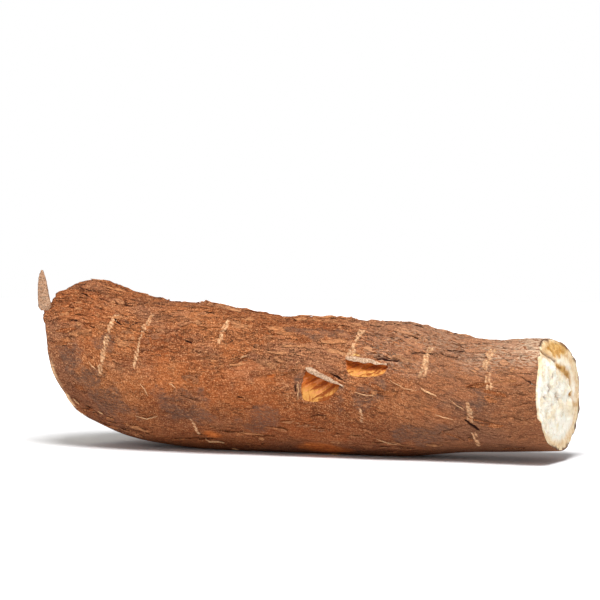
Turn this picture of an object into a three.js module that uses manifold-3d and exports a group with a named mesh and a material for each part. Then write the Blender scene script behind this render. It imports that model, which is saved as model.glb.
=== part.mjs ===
// A cut length of cassava root lying on its side, in millimetres.
// +X runs along the root to its thinner cut end and +Z is up. The origin is the middle of the flat
// spot under the root that it rests on. A turn is an angle round the root in degrees: 0 is the
// top, 90 faces -Y, 180 is the underside and 270 faces +Y. A lift is a height off the bark.
import * as THREE from "three";
import Module from "manifold-3d";

const wasm = await Module();
wasm.setup();

// The root's centre and half sizes where its outline changes
const STATIONS = [
  { x: -128, y: 2.0, z: 47.3, wide: 30.0, high: 29.6 },
  { x: -112, y: 1.5, z: 44.6, wide: 33.0, high: 33.2 },
  { x: -90, y: 0.5, z: 37.9, wide: 34.2, high: 34.1 },
  { x: -70, y: -0.5, z: 35.0, wide: 34.0, high: 34.1 },
  { x: -45, y: -1.0, z: 33.7, wide: 34.0, high: 34.2 },
  { x: -20, y: -0.5, z: 31.8, wide: 33.0, high: 32.4 },
  { x: 5, y: 0.5, z: 31.2, wide: 32.0, high: 31.8 },
  { x: 30, y: 1.0, z: 30.0, wide: 30.5, high: 30.6 },
  { x: 48, y: 1.5, z: 29.9, wide: 30.0, high: 30.2 },
  { x: 62, y: 1.0, z: 29.5, wide: 28.5, high: 28.3 },
  { x: 76, y: 0.5, z: 29.2, wide: 27.0, high: 26.5 },
  { x: 94, y: 0.0, z: 29.0, wide: 26.3, high: 25.4 },
  { x: 110, y: 0.0, z: 29.2, wide: 26.3, high: 24.8 },
  { x: 126, y: 0.5, z: 29.2, wide: 25.8, high: 23.9 },
];
const AROUND = 76; // points round the root
const ALONG = 42; // rings along the bark

// The knife cuts: x in the middle, and how far the cut leans along y and z
const THICK_END = { x: -113, y: 2, z: 44, leanY: 0.29, leanZ: -0.178 };
const THIN_END = { x: 118, y: 0, z: 29, leanY: 0.135, leanZ: -0.02 };

// Corky lenticels across the near side: both ends as [x, turn], how broad they are and their height
const LENTICELS = [
  { from: [-89.5, 39], to: [-92.5, 97], breadth: 3.2, height: 0.8 },
  { from: [-72.5, 30], to: [-74, 84], breadth: 2.8, height: 0.8 },
  { from: [-32, 32], to: [-33.5, 60], breadth: 3.2, height: 0.8 },
  { from: [30, 26], to: [28, 61], breadth: 3.4, height: 0.9 },
  { from: [63.5, 39], to: [61.5, 75], breadth: 4.0, height: 0.9 },
  { from: [90.5, 34], to: [90, 65], breadth: 3.8, height: 0.9 },
  { from: [92, 68], to: [91.5, 81], breadth: 3.0, height: 0.8 },
  { from: [82.5, 93], to: [84, 117], breadth: 3.2, height: 0.8 },
  { from: [84, 123], to: [85, 147], breadth: 2.4, height: 0.7 },
  { from: [34, 100], to: [35, 114], breadth: 2.2, height: 0.6 },
  { from: [-47, 119], to: [-46, 139], breadth: 1.8, height: 0.6 },
];
const MORE_LENTICELS = 11; // scattered round the rest of the root
const SCALES = 18; // lifted bark scales along the top and the far side

// Knife nicks: the outline of the bare patch as [x, turn], and the free edge of the sliver above it
const NICKS = [
  {
    patch: [
      [9.5, 77], [17, 80], [25, 83], [24, 89], [20.5, 96.5],
      [14, 99.5], [8.5, 99], [7, 92], [7.3, 84],
    ],
    edge: [[8, 72], [27, 84.5]],
  },
  {
    patch: [
      [27, 63.5], [36, 65.5], [45.5, 67], [46.3, 72], [44.3, 77],
      [37, 78.5], [31, 78], [28, 74], [26.8, 69],
    ],
    edge: [[26.5, 61], [48, 65.5]],
  },
];
const NICK_DEPTH = 2.0;
const SMALLEST_EDGE = 0.05; // finer steps left by the joins are smoothed away

// A strip of bark torn up from a tab at the thick end: its foot, height, width and thickness
const STRIP = { x: -127.5, turn: 48, tall: 19.5, wide: 6, thick: 1.3 };

const radians = THREE.MathUtils.degToRad;
const mix = THREE.MathUtils.lerp;
const step = THREE.MathUtils.smoothstep;

// A station value at any x, on a smooth curve through the stations
function along(key, x) {
  const last = STATIONS.length - 1;
  const i = THREE.MathUtils.clamp(STATIONS.filter((s) => s.x <= x).length - 1, 0, last - 1);
  const value = (n) => STATIONS[n][key];
  const slope = (n) => {
    const before = Math.max(n - 1, 0);
    const after = Math.min(n + 1, last);
    return (value(after) - value(before)) / (STATIONS[after].x - STATIONS[before].x);
  };
  const span = STATIONS[i + 1].x - STATIONS[i].x;
  const t = THREE.MathUtils.clamp((x - STATIONS[i].x) / span, 0, 1);
  const bend = span * t * (1 - t) * ((1 - t) * slope(i) - t * slope(i + 1));
  return mix(value(i), value(i + 1), t * t * (3 - 2 * t)) + bend;
}

// A repeatable number from -1 to 1 for each corner of a cubic lattice
function lattice(i, j, k) {
  let h = Math.imul(i, 374761393) ^ Math.imul(j, 668265263) ^ Math.imul(k, 1440662683);
  h = Math.imul(h ^ (h >>> 13), 1274126177);
  return ((h ^ (h >>> 16)) >>> 0) / 2147483647.5 - 1;
}

// Smooth noise from -1 to 1 that turns over about once in each unit of x, y and z
function noise(x, y, z) {
  const [i, j, k] = [x, y, z].map(Math.floor);
  const [u, v, w] = [x - i, y - j, z - k].map((t) => t * t * (3 - 2 * t));
  const edge = (b, c) => mix(lattice(i, b, c), lattice(i + 1, b, c), u);
  const face = (c) => mix(edge(j, c), edge(j + 1, c), v);
  return mix(face(k), face(k + 1), w);
}

// The bark's surface at x and turn: an oval with broad swellings and ridges that run along it.
// The underside stays calm, and it is flat where it would reach below the ground.
function skin(x, turn, lift = 0) {
  const [side, up] = [-Math.sin(radians(turn)), Math.cos(radians(turn))];
  const [wide, high] = [along("wide", x), along("high", x)];
  const oval = (wide * high) / Math.hypot(high * side, wide * up);
  const centre = new THREE.Vector3(x, along("y", x), along("z", x));
  const p = centre.clone().add(new THREE.Vector3(0, oval * side, oval * up));
  const swell = 1.4 * noise(p.x / 38, p.y / 26, p.z / 26);
  const ridges = 0.8 * noise(p.x / 18, p.y / 6, p.z / 6);
  const r = oval + step(up, -1, -0.8) * (swell + ridges) + lift;
  return new THREE.Vector3(x, centre.y + r * side, Math.max(centre.z + r * up, 0));
}

// A point moved along x onto a knife cut
function onCut(p, cut, back = 0) {
  const x = cut.x + cut.leanY * (p.y - cut.y) + cut.leanZ * (p.z - cut.z) - back;
  return new THREE.Vector3(x, p.y, p.z);
}

// A closed solid through rings of points, with a fan to a middle point on both ends
function loft(rings) {
  const n = rings[0].length;
  const points = [...rings.flat(), middle(rings[0]), middle(rings.at(-1))];
  const first = rings.length * n;
  const end = first - n;
  const faces = [];
  for (let j = 0; j < n; j++) {
    const k = (j + 1) % n;
    faces.push([first, k, j], [first + 1, end + j, end + k]);
    for (let a = 0; a < end; a += n)
      faces.push([a + j, a + k, a + n + k], [a + j, a + n + k, a + n + j]);
  }
  return new wasm.Manifold(
    new wasm.Mesh({
      numProp: 3,
      vertProperties: new Float32Array(points.flatMap((p) => p.toArray())),
      triVerts: new Uint32Array(faces.flat()),
    }),
  );
}

function middle(ring) {
  return ring.reduce((sum, p) => sum.add(p), new THREE.Vector3()).divideScalar(ring.length);
}

// How thick the peel is round the thin end: thin on the near side, a broad lobe at the top
function peel(turn) {
  const top = Math.max(Math.cos(radians(turn + 8)), 0) ** 6;
  const far = Math.max(-Math.sin(radians(turn + 15)), 0);
  return 3 + 3 * far + 5 * top;
}

// How far the rim is broken back: a chip on the near side and a slope over the top lobe
function brokenBack(turn) {
  const chip = 1.8 * step(turn, 40, 46) * (1 - step(turn, 106, 112));
  const top = 1.8 * Math.max(Math.cos(radians(turn + 8)), 0) ** 6;
  return chip + top + 0.3 * noise(turn / 7, 3, 9);
}

// The thin end's cut face from its rim inwards: peel, the groove inside it, then crumbly flesh
function thinFace(rim, turns) {
  const centre = middle(rim);
  const inward = (depthAt, backAt) =>
    rim.map((p, j) => {
      const reach = 1 - depthAt(turns[j]) / p.distanceTo(centre);
      return onCut(centre.clone().lerp(p, reach), THIN_END, backAt(turns[j]));
    });
  const groove = (turn) => 0.2 + 1.0 * step(Math.cos(radians(turn + 40)), -0.2, 0.5);
  const crumble = (share) =>
    rim.map((p) => {
      const q = centre.clone().lerp(p, share);
      return onCut(q, THIN_END, 0.5 * noise(q.y / 5, q.z / 5, 1));
    });
  return [
    inward((turn) => peel(turn) - 0.6, () => 0),
    inward(peel, groove),
    inward((turn) => peel(turn) + 1.2, () => 0),
    crumble(0.62),
    crumble(0.35),
  ];
}

// The thick end's cut face: an even peel, a shallow groove and smoother flesh
function thickFace(rim) {
  const centre = middle(rim);
  const inward = (depth, back) =>
    rim.map((p) => {
      const q = centre.clone().lerp(p, 1 - depth / p.distanceTo(centre));
      return onCut(q, THICK_END, back * (1 + 0.6 * noise(q.y / 6, q.z / 6, 5)));
    });
  return [inward(14, -0.4), inward(4.2, 0), inward(3.2, -0.6), inward(2.6, 0)];
}

// The root without its small features: bark from rim to rim, closed by the two cut faces
function trunk() {
  const turns = Array.from({ length: AROUND }, (_, j) => (360 * j) / AROUND);
  const rim = (cut, backAt) =>
    turns.map((turn) => {
      let p = skin(cut.x, turn);
      for (let pass = 0; pass < 6; pass++) p = skin(onCut(p, cut, backAt(turn)).x, turn);
      return p;
    });
  const tab = (turn) => 5.5 * step(turn, 32, 44) * (1 - step(turn, 52, 80));
  const thick = rim(THICK_END, (turn) => tab(turn) + 0.4 * noise(turn / 9, 7, 2));
  const thin = rim(THIN_END, brokenBack);
  const bark = Array.from({ length: ALONG + 1 }, (_, i) =>
    turns.map((turn, j) => skin(mix(thick[j].x, thin[j].x, i / ALONG), turn)),
  );
  return loft([...thickFace(thick), ...bark, ...thinFace(thin, turns)]);
}

// A closed bar laid on the skin from one [x, turn] to another. Its section holds points as
// [across, lift], where across is the distance to the side of the bar, and it thins to its ends.
function bar(from, to, section, steps, endSize = 0.35) {
  const degreesPerMm = 180 / Math.PI / along("high", from[0]);
  const run = [to[0] - from[0], (to[1] - from[1]) / degreesPerMm];
  const length = Math.hypot(run[0], run[1]);
  const rings = [];
  for (let i = 0; i <= steps; i++) {
    const share = i / steps;
    const size = mix(endSize, 1, Math.sin(Math.PI * share) ** 0.5);
    const waver = 0.35 * noise(i * 0.9, from[0], from[1]);
    const ring = section.map(([across, lift]) => {
      const a = across * size + waver;
      const x = mix(from[0], to[0], share) - (a * run[1]) / length;
      const turn = mix(from[1], to[1], share) + ((a * run[0]) / length) * degreesPerMm;
      return skin(x, turn, lift > 0 ? lift * size : lift);
    });
    rings.push(ring);
  }
  return loft(rings);
}

function lenticel({ from, to, breadth, height }) {
  const half = breadth / 2;
  const section = [[-half, -0.7], [-0.7 * half, 0.8 * height], [0.5 * half, height], [half, -0.7]];
  return bar(from, to, section, Math.max(3, Math.round((to[1] - from[1]) / 6)));
}

// A scale of dead bark lifted along one edge
function scale(x, turn, length) {
  const section = [[-1.6, -0.5], [-1.5, 0.9], [1.6, 0.3], [1.8, -0.5]];
  return bar([x, turn], [x + length, turn + 3], section, 3);
}

// What a nick removes: a hollow under its patch, deep at the sliver and shallow at its foot
function hollow({ patch }) {
  const corners = patch.map(([x, turn]) => new THREE.Vector3(x, turn, 0));
  const outline = new THREE.CatmullRomCurve3(corners, true, "catmullrom", 0.5).getPoints(18);
  outline.pop();
  const [top, foot] = [Math.min, Math.max].map((pick) => pick(...outline.map((p) => p.y)));
  const above = outline.map((p) => skin(p.x, p.y, 3));
  const below = outline.map((p) => {
    const share = (p.y - top) / (foot - top);
    return skin(p.x, p.y - 2 * share, -mix(NICK_DEPTH, 0.5, share));
  });
  return loft([above, below]);
}

// The sliver of bark that a nick leaves standing over its patch
function sliver({ edge }) {
  const section = [[-3.4, -0.8], [-3.4, 0.2], [-0.3, 2.7], [0.8, 1.2], [-1.4, -0.8]];
  return bar(edge[0], edge[1], section, 6, 0.5);
}

// The torn strip stands on the thick end's rim, leans outwards and narrows to a point
function tornStrip() {
  const foot = skin(STRIP.x, STRIP.turn, -2.5);
  const rings = [0, 0.3, 0.5, 0.7, 0.88, 1].map((share) => {
    const half = (STRIP.wide / 2) * (1 - 0.5 * share - 0.42 * share ** 6);
    const thick = STRIP.thick * (1 - 0.5 * share);
    const x = foot.x - 1.2 * Math.sin(2.4 * share);
    const y = foot.y - 1.5 - 2.5 * share;
    const z = foot.z + STRIP.tall * share;
    const corners = [[-half, 0], [0, -0.5], [half, 0], [half, thick], [0, thick - 0.5], [-half, thick]];
    return corners.map(([a, b]) => new THREE.Vector3(x + a, y + b, z));
  });
  return loft(rings);
}

// Lenticels and scales for the sides that the nicks aren't on, from a seeded draw
function scattered() {
  let seed = 20;
  const draw = (low, high) => {
    seed += 1;
    return mix(low, high, 0.5 + 0.5 * lattice(seed, 11, 5));
  };
  const pieces = [];
  for (let i = 0; i < MORE_LENTICELS; i++) {
    const x = -98 + (200 * (i + 0.5)) / MORE_LENTICELS + draw(-5, 5);
    const turn = draw(205, 315);
    const [from, to] = [[x, turn], [x, turn + draw(14, 44)]];
    pieces.push(lenticel({ from, to, breadth: draw(2.4, 3.8), height: draw(0.6, 1.0) }));
  }
  for (let i = 0; i < SCALES; i++) {
    const x = -108 + (206 * (i + 0.5)) / SCALES + draw(-3, 3);
    pieces.push(scale(x, draw(-55, 22), draw(6, 11)));
  }
  return pieces;
}

function cassavaRoot() {
  const raised = [...LENTICELS.map(lenticel), ...scattered(), tornStrip()];
  const whole = raised.reduce((solid, piece) => solid.add(piece), trunk());
  const cut = NICKS.reduce((solid, nick) => solid.subtract(hollow(nick)), whole);
  const root = NICKS.reduce((solid, nick) => solid.add(sliver(nick)), cut);
  return root.asOriginal().simplify(SMALLEST_EDGE);
}

function meshOf(name, solid, material) {
  const { vertProperties, triVerts } = solid.getMesh();
  const geometry = new THREE.BufferGeometry();
  geometry.setAttribute("position", new THREE.BufferAttribute(vertProperties, 3));
  geometry.setIndex(new THREE.BufferAttribute(triVerts, 1));
  geometry.computeVertexNormals();
  const mesh = new THREE.Mesh(geometry, material);
  mesh.name = name;
  return mesh;
}

const bark = new THREE.MeshStandardMaterial({ color: 0xa86b46, roughness: 0.85, metalness: 0 });

const part = new THREE.Group();
part.add(meshOf("cassava_root", cassavaRoot(), bark));
export default part;
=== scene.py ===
"""A cut length of cassava root lying on its side, on a pale studio floor.

The tables are in millimetres and degrees, in the part's own frame: +X runs along the root to its
thinner cut end and +Z is up. A turn goes round the root: 0 is its top, 90 its near side (-Y), 180
its underside and 270 its far side. A lift is a height off the bark.
"""
import math

import bpy
import numpy as np
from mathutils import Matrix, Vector


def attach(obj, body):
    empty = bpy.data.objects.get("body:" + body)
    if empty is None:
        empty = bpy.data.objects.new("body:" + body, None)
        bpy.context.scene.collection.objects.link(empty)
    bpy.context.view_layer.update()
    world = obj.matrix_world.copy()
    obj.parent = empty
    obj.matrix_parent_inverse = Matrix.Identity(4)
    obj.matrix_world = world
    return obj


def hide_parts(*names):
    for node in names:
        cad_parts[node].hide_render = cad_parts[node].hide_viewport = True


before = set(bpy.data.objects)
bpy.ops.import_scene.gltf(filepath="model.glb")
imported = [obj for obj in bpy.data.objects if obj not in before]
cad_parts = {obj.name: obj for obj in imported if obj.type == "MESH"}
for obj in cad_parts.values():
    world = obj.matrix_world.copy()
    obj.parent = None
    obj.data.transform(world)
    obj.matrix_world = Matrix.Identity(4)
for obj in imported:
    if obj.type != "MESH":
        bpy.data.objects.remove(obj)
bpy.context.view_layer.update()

MM = 0.001
ROOT_NODE = "cassava_root"

# Where the camera stands, as the photograph's did: it looks a little above the root
CAMERA = {"azimuth": 20, "elevation": 4, "distance": 0.78, "lens": 100, "up": 0.0379, "left": 0.0047}
CAMERA_TARGET = Vector((0, 0, 0.033))

# The root's centre and half sizes where its outline changes: x, y, z, wide, high
STATIONS = np.array([
    (-128, 2.0, 47.3, 30.0, 29.6),
    (-112, 1.5, 44.6, 33.0, 33.2),
    (-90, 0.5, 37.9, 34.2, 34.1),
    (-70, -0.5, 35.0, 34.0, 34.1),
    (-45, -1.0, 33.7, 34.0, 34.2),
    (-20, -0.5, 31.8, 33.0, 32.4),
    (5, 0.5, 31.2, 32.0, 31.8),
    (30, 1.0, 30.0, 30.5, 30.6),
    (48, 1.5, 29.9, 30.0, 30.2),
    (62, 1.0, 29.5, 28.5, 28.3),
    (76, 0.5, 29.2, 27.0, 26.5),
    (94, 0.0, 29.0, 26.3, 25.4),
    (110, 0.0, 29.2, 26.3, 24.8),
    (126, 0.5, 29.2, 25.8, 23.9),
])
AROUND = 300  # points round the bark
ALONG = 300  # rings along it
FACE_RINGS = 44  # rings on each cut face
CROWDED = 25  # degrees by which the points crowd towards the near side, which has the finest detail

# The knife cuts: x in the middle, and how far each leans along y and z
THICK_END = {"x": -113, "y": 2, "z": 44, "lean_y": 0.29, "lean_z": -0.178}
THIN_END = {"x": 118, "y": 0, "z": 29, "lean_y": 0.135, "lean_z": -0.02}

# Corky lenticels: x and turn at both ends, breadth and height
LENTICELS = [
    (-89.5, 39, -92.5, 97, 3.2, 0.8),
    (-72.5, 30, -74, 84, 2.8, 0.8),
    (-32, 32, -33.5, 60, 3.2, 0.8),
    (30, 26, 28, 61, 3.4, 0.9),
    (63.5, 39, 61.5, 75, 4.0, 0.9),
    (91, 32, 89.5, 63, 4.2, 0.9),
    (91.5, 64, 92, 82, 4.2, 0.8),
    (82.5, 93, 84, 117, 3.2, 0.8),
    (84, 123, 85, 147, 2.4, 0.7),
    (34, 100, 35, 114, 2.2, 0.6),
    (-47, 119, -46, 139, 1.8, 0.6),
]
MORE_LENTICELS = 11

# Knife nicks: the outline of the bare patch as (x, turn), and the free edge of the sliver above it
NICKS = [
    {
        "patch": [
            (9.5, 77), (17, 80), (25.5, 83.5), (24, 89), (21.5, 95.5),
            (15.5, 98.5), (8.6, 98.5), (7, 92), (7.6, 84),
        ],
        "edge": [(9.6, 72.4), (26.4, 83.8)],
    },
    {
        "patch": [
            (27, 63.5), (36, 65), (45, 66.5), (45.6, 70.5), (43.3, 74.5),
            (37, 75.5), (31, 75.5), (28, 72.5), (26.8, 68),
        ],
        "edge": [(27.2, 60), (45.2, 64.4)],
    },
]
NICK_DEPTH = 2.0
UNDERCUT = 3.5  # degrees by which each patch goes in under its sliver

# The strip torn up at the thick end
STRIP = {"x": -127.5, "turn": 48, "tall": 19.2, "wide": 7, "thick": 1.3}

# Grey earth stains, rubbed orange places and warm patches: x, turn, half length and half height
STAINS = [
    (-110, 92, 8, 7), (-88, 112, 9, 10), (-96, 98, 8, 5), (-50, 108, 12, 7), (7, 88, 2.5, 6),
    (35, 90, 12, 6), (84, 96, 9, 6), (-92, 64, 6, 5), (60, 128, 14, 6), (-14, 118, 9, 6), (12, 36, 14, 4),
    (-30, 240, 16, 9), (60, 270, 12, 8), (-84, 300, 12, 8), (20, 205, 14, 7), (-62, 200, 12, 8),
]
RUBBED = [(12, 152, 14, 5.5), (-40, 138, 5, 2.6), (-7, 79.5, 2.2, 1.0)]
WARM = [
    (66, 108, 10, 5), (-60, 88, 18, 9), (-20, 92, 22, 14), (4, 130, 22, 8), (-104, 50, 14, 12),
    (-40, 300, 24, 12), (40, 240, 20, 10),
]

# Dark cracks that stand out: half width, how dark from 0 to 1, and (x, turn) along each
CRACKS = [
    (0.6, 1.0, [(17.5, 74), (22, 76), (27, 79)]),
    (0.5, 0.6, [(20, 70.5), (23.5, 72.5), (28, 75)]),
    (0.6, 1.0, [(36, 60), (42, 59.5), (47, 60), (51, 60.5)]),
    (0.5, 0.7, [(37, 57.5), (43, 57), (50, 58.5)]),
    (0.9, 1.0, [(81, 111), (84, 116), (87, 123)]),
    (0.5, 0.5, [(41, 103), (44, 104.5), (48, 105)]),
    (0.5, 0.7, [(10, 112), (14, 110.5), (18, 111)]),
    (0.5, 0.8, [(67, 43), (70, 46), (76, 46)]),
    (0.5, 0.8, [(68, 21), (76, 29), (85, 38)]),
    (0.5, 0.4, [(42, 97), (47, 101)]),
    (0.5, 0.7, [(67, 128), (74, 122), (80, 116)]),
    (0.5, 0.6, [(55, 25), (64, 30)]),
    (0.5, 0.6, [(98, 107), (102, 106), (107, 110), (111, 105)]),
    (0.5, 0.5, [(98, 88), (104, 84), (110, 86)]),
    (0.5, 0.5, [(103, 97), (110, 92)]),
    (0.5, 0.7, [(106, 69), (109, 72), (112, 76)]),
    (0.5, 0.6, [(70, 135), (80, 137)]),
    (0.5, 0.8, [(-104, 48), (-98, 47), (-92, 44)]),
    (0.6, 1.0, [(-90, 45), (-85.5, 49)]),
    (0.5, 0.9, [(-81, 48), (-79, 44), (-77, 42)]),
    (0.5, 0.7, [(-118, 47), (-108, 45)]),
    (0.5, 0.8, [(-116, 59), (-108, 58)]),
    (0.5, 0.8, [(-66, 30), (-61, 33), (-57, 30)]),
    (0.5, 0.9, [(-50, 58.5), (-46.5, 59)]),
    (0.5, 0.7, [(-33, 54), (-30.5, 57), (-27.5, 54), (-29, 51)]),
    (0.5, 0.8, [(-23.5, 98), (-20.5, 98.5)]),
    (0.5, 0.9, [(4, 85), (4.4, 92)]),
    (0.6, 0.9, [(-115.5, 20), (-111, 20.8), (-106.5, 20.3)]),
    (0.6, 0.9, [(-113.5, 27.7), (-108.7, 28.7), (-104.3, 30.8)]),
    (0.5, 0.7, [(-115.6, 40.4), (-111.4, 40.1)]),
    (0.5, 0.7, [(-116, 62.5), (-110.5, 63.2)]),
    (0.5, 0.8, [(-100.5, 58.7), (-95.8, 57)]),
    (0.6, 0.8, [(-91.6, 25), (-83.6, 24.5)]),
    (0.6, 0.7, [(-76.6, 20), (-68.4, 20.8)]),
    (0.5, 0.6, [(-80.6, 66.6), (-76, 68.6)]),
    (0.5, 0.6, [(-67.3, 66.6), (-59.6, 65)]),
    (0.6, 0.8, [(-49, 24.6), (-41.4, 25.2)]),
    (0.6, 0.9, [(49.7, 31.8), (55.5, 30.2), (62.2, 29.3)]),
    (0.6, 0.9, [(70.3, 37.4), (80.6, 36.4)]),
    (0.5, 0.8, [(55.4, 50.5), (61, 47.8), (67.2, 45.6)]),
    (0.5, 0.7, [(68.4, 58.2), (72.3, 59.5)]),
]

# A yellow lump of earth over the second nick: x, turn, half length and half height
EARTH_LUMP = [(30.5, 58, 2.6, 1.5)]

# Pale fibres that lie on the bark near the nicks and below them: (x, turn) along each, half width
FIBRES = [
    ([(-76, 122), (-70, 124), (-64, 120)], 0.30),
    ([(-70.5, 94), (-68, 99), (-67, 103)], 0.26),
    ([(-56, 92), (-54.5, 93), (-52.5, 95.5)], 0.26),
    ([(-98.5, 87), (-96.5, 90), (-94, 91)], 0.34),
    ([(-22, 67.5), (-20.5, 66), (-19, 65.5)], 0.40),
    ([(-112, 130), (-110.5, 133), (-109, 134)], 0.60),
    ([(-97, 129), (-94.5, 130)], 0.50),
    ([(68, 106), (72, 108), (76, 110)], 0.26),
    ([(75, 92), (78, 97), (81, 100)], 0.24),
    ([(32, 88), (37, 90.5), (41.5, 91)], 0.24),
    ([(62, 83), (65, 86), (69, 89)], 0.55),
    ([(5.8, 83), (6.1, 90), (5.6, 98)], 0.32),
    ([(40, 129), (44, 133), (49, 136)], 0.26),
    ([(48, 78), (55, 84), (60, 85)], 0.20),
    ([(-44, 143), (-43.5, 149), (-39, 148), (-36, 150)], 0.55),
    ([(12, 166), (15, 163), (18, 165)], 0.45),
    ([(-34, 158), (-31, 161)], 0.40),
]

GRAIN_RADIUS = 30  # the radius on which the grain's coordinates lie
MM_PER_DEGREE = math.pi / 180 * 31  # round the root's skin
TWIST = 34  # degrees by which the grain turns round the root, between these places along it
TWIST_FROM_TO = (15, 108)
UNDERSIDE = (-1, -0.8)  # how far up the skin faces where the relief fades out over the rest spot


def mix(a, b, t):
    return a + (b - a) * t


def step(x, low, high):
    """A smooth step from 0 at low to 1 at high."""
    t = np.clip((x - low) / (high - low), 0, 1)
    return t * t * (3 - 2 * t)


def band(x, low, start, end, high):
    """Up from 0 at low to 1 at start, and down again from end to high."""
    return step(x, low, start) * (1 - step(x, end, high))


def ridge(away, width):
    """1 where away is 0, and next to nothing at twice the width."""
    return np.exp(-((away / width) ** 2))


def lattice(i, j, k):
    """A repeatable number from -1 to 1 for each corner of a cubic lattice, as the part's source has."""
    low_bits = 0xFFFFFFFF
    h = ((i * 374761393) ^ (j * 668265263) ^ (k * 1440662683)) & low_bits
    h = ((h ^ (h >> 13)) * 1274126177) & low_bits
    return (h ^ (h >> 16)) / 2147483647.5 - 1


def noise(x, y, z):
    """Smooth noise from -1 to 1 that turns over about once in each unit of x, y and z."""
    x, y, z = np.broadcast_arrays(x, y, z)
    corner = [np.floor(v).astype(np.int64) for v in (x, y, z)]
    u, v, w = (step(value - cell, 0, 1) for value, cell in zip((x, y, z), corner))
    i, j, k = corner

    def edge(b, c):
        return mix(lattice(i, b, c), lattice(i + 1, b, c), u)

    return mix(mix(edge(j, k), edge(j + 1, k), v), mix(edge(j, k + 1), edge(j + 1, k + 1), v), w)


def layered(x, y, z, octaves=3):
    """Noise with finer noise on it."""
    return sum(noise(x * 2**n + 7 * n, y * 2**n, z * 2**n) / 2**n for n in range(octaves))


def along(x):
    """The stations' y, z, wide and high at any x, on smooth curves through them."""
    xs = STATIONS[:, 0]
    last = len(xs) - 1
    i = np.clip(np.searchsorted(xs, x, side="right") - 1, 0, last - 1)
    before = np.maximum(np.arange(last + 1) - 1, 0)
    after = np.minimum(np.arange(last + 1) + 1, last)
    slopes = (STATIONS[after, 1:] - STATIONS[before, 1:]) / (xs[after] - xs[before])[:, None]
    span = xs[i + 1] - xs[i]
    t = np.clip((x - xs[i]) / span, 0, 1)[..., None]
    bend = span[..., None] * t * (1 - t) * ((1 - t) * slopes[i] - t * slopes[i + 1])
    values = mix(STATIONS[i, 1:], STATIONS[i + 1, 1:], t * t * (3 - 2 * t)) + bend
    return np.moveaxis(values, -1, 0)


def blot(x, turn, places, ragged):
    """1 in the middle of any of the places, falling to 0 past its half length and half height."""
    mask = np.zeros_like(x)
    edge = ragged * layered(x / 5, turn / 9, 3.0)
    for px, pturn, long, tall in places:
        arc = (turn - pturn) * math.pi / 180 * GRAIN_RADIUS
        mask = np.maximum(mask, 1 - step(np.hypot((x - px) / long, arc / tall) + edge, 0.55, 1.15))
    return mask


def all_lenticels():
    """The lenticels on the near side, and the part's own seeded ones round the rest of the root."""
    drawn = iter(range(21, 21 + 5 * MORE_LENTICELS))

    def draw(low, high):
        return mix(low, high, 0.5 + 0.5 * lattice(next(drawn), 11, 5))

    more = []
    for i in range(MORE_LENTICELS):
        x = -98 + 200 * (i + 0.5) / MORE_LENTICELS + draw(-5, 5)
        turn = draw(205, 315)
        more.append((x, turn, x, turn + draw(14, 44), draw(2.4, 3.8), draw(0.6, 1.0)))
    return LENTICELS + more


def cork_bars(x, turn):
    """The lenticels' lift, their cork mask, and where other things keep clear of them."""
    lift, cork, room = (np.zeros_like(x) for _ in range(3))
    ragged = 0.35 * noise(x / 1.1, turn / 1.6, 2.0)
    for n, (x0, first, x1, last, breadth, height) in enumerate(all_lenticels()):
        for wrap in (0, 360):
            t = turn + wrap
            share = (t - first) / (last - first)
            offset = x - mix(x0, x1, share)
            near = (np.abs(offset) < breadth + 2) & (t > first - 6) & (t < last + 6)
            if not near.any():
                continue
            t, offset = t[near], offset[near]
            room[near] = np.maximum(room[near], 1 - step(np.abs(offset), breadth / 2 + 0.6, breadth / 2 + 2))
            waver = 0.5 * noise(t / 6, n, 0.0) + 0.25 * noise(t / 2, n, 4.0)
            swelling = 0.85 + 0.4 * noise(t / 6, n, 9.0)
            across = (offset - waver) / (breadth * 0.36 * swelling) + 0.7 * ragged[near]
            reach = band(t, first - 2, first + 3, last - 4, last + 2)
            apart = 0.7 + 0.25 * noise(t / 9, n, 21.0)
            lips = ridge(np.abs(across) - apart, 0.34)
            patchy = np.clip(0.95 + 0.6 * noise(t / 2.2, offset / 1.1, n), 0.3, 1)
            lift[near] = np.maximum(lift[near], height * reach * lips * patchy)
            filled = 0.3 * (np.abs(across) < apart)
            cork[near] = np.maximum(cork[near], reach * np.clip(1.2 * lips * patchy + filled, 0, 1))
    return lift, cork, room


def plates(x, arc, length, around, seed):
    """Bark plates as ragged cells, so many around the root: how near a point is to its plate's edge,
    the plate's own number from -1 to 1, and how far along its plate the point lies."""
    u, v = x / length, arc * around
    i, j = np.floor(u).astype(np.int64), np.floor(v).astype(np.int64)
    best, second = np.full_like(u, 9.0), np.full_like(u, 9.0)
    number, place = np.zeros_like(u), np.zeros_like(u)
    for a in (-1, 0, 1):
        for b in (-1, 0, 1):
            cell = (i + a, (j + b) % around)
            middle_u = i + a + 0.5 + 0.45 * lattice(*cell, seed)
            middle_v = j + b + 0.5 + 0.45 * lattice(*cell, seed + 1)
            reach = np.hypot(u - middle_u, v - middle_v)
            nearer = reach < best
            second = np.where(nearer, best, np.minimum(second, reach))
            number = np.where(nearer, lattice(*cell, seed + 2), number)
            place = np.where(nearer, u - middle_u, place)
            best = np.where(nearer, reach, best)
    return second - best, number, place


def rounded(corners, count=4):
    """A smooth closed outline through corners, with count points for each side."""
    corners = np.asarray(corners, float)
    before, after, next_after = (np.roll(corners, n, axis=0) for n in (1, -1, -2))
    points = []
    for t in np.arange(count) / count:
        ease = t * t * (3 - 2 * t)
        leave = t * (1 - t) ** 2 * 0.5 * (after - before)
        arrive = t * t * (1 - t) * 0.5 * (next_after - corners)
        points.append(mix(corners, after, ease) + leave - arrive)
    return np.stack(points, 1).reshape(-1, 2)



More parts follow.
